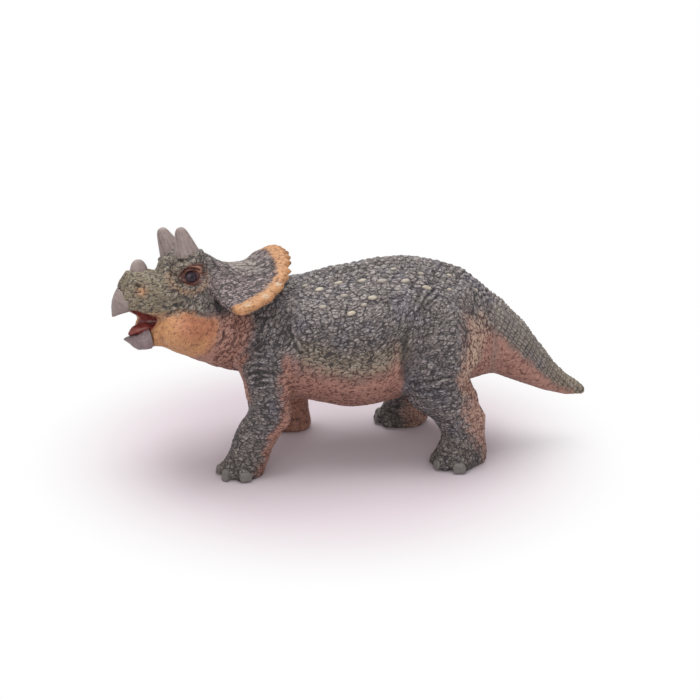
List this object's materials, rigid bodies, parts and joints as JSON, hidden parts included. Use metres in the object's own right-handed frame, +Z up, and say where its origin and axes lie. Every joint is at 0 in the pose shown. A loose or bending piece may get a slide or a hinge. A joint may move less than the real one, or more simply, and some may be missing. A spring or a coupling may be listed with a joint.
{
  "type": "toy dinosaur figure",
  "caption": "Free-standing toy figure of a horned dinosaur, walking with its mouth open, with a scalloped neck frill, a beak and a tapering tail; it rests on flat soles.",
  "frame": {"origin": "middle of the bounding box, on the ground under the soles", "axes": "+Z up, the snout points to -X and the tail to +X, the left flank faces -Y"},
  "size_m": [0.1218, 0.044, 0.0632],
  "materials": {
    "skin_grey": "painted, dark grey-green with pale dry-brushed ridges",
    "skin_rosy": "painted, reddish brown",
    "skin_orange": "painted, orange",
    "horn_grey": "painted, warm grey with fine dark lines",
    "mouth_red": "painted, glossy dark red",
    "eye_dark": "painted, glossy dark violet-brown"
  },
  "bodies": {
    "root": {"torso_left_half": "skin_grey", "torso_right_half": "skin_grey", "tail": "skin_rosy", "left_foreleg": "skin_grey", "right_foreleg": "skin_grey", "left_hind_leg": "skin_grey", "right_hind_leg": "skin_grey", "head": "skin_grey", "frill": "skin_orange", "lower_jaw": "skin_orange", "upper_beak": "horn_grey", "lower_beak": "horn_grey", "nose_horn": "horn_grey", "left_brow_horn": "horn_grey", "right_brow_horn": "horn_grey", "mouth_lining": "mouth_red", "tongue": "mouth_red", "left_eye": "eye_dark", "right_eye": "eye_dark"}
  },
  "joints": []
}
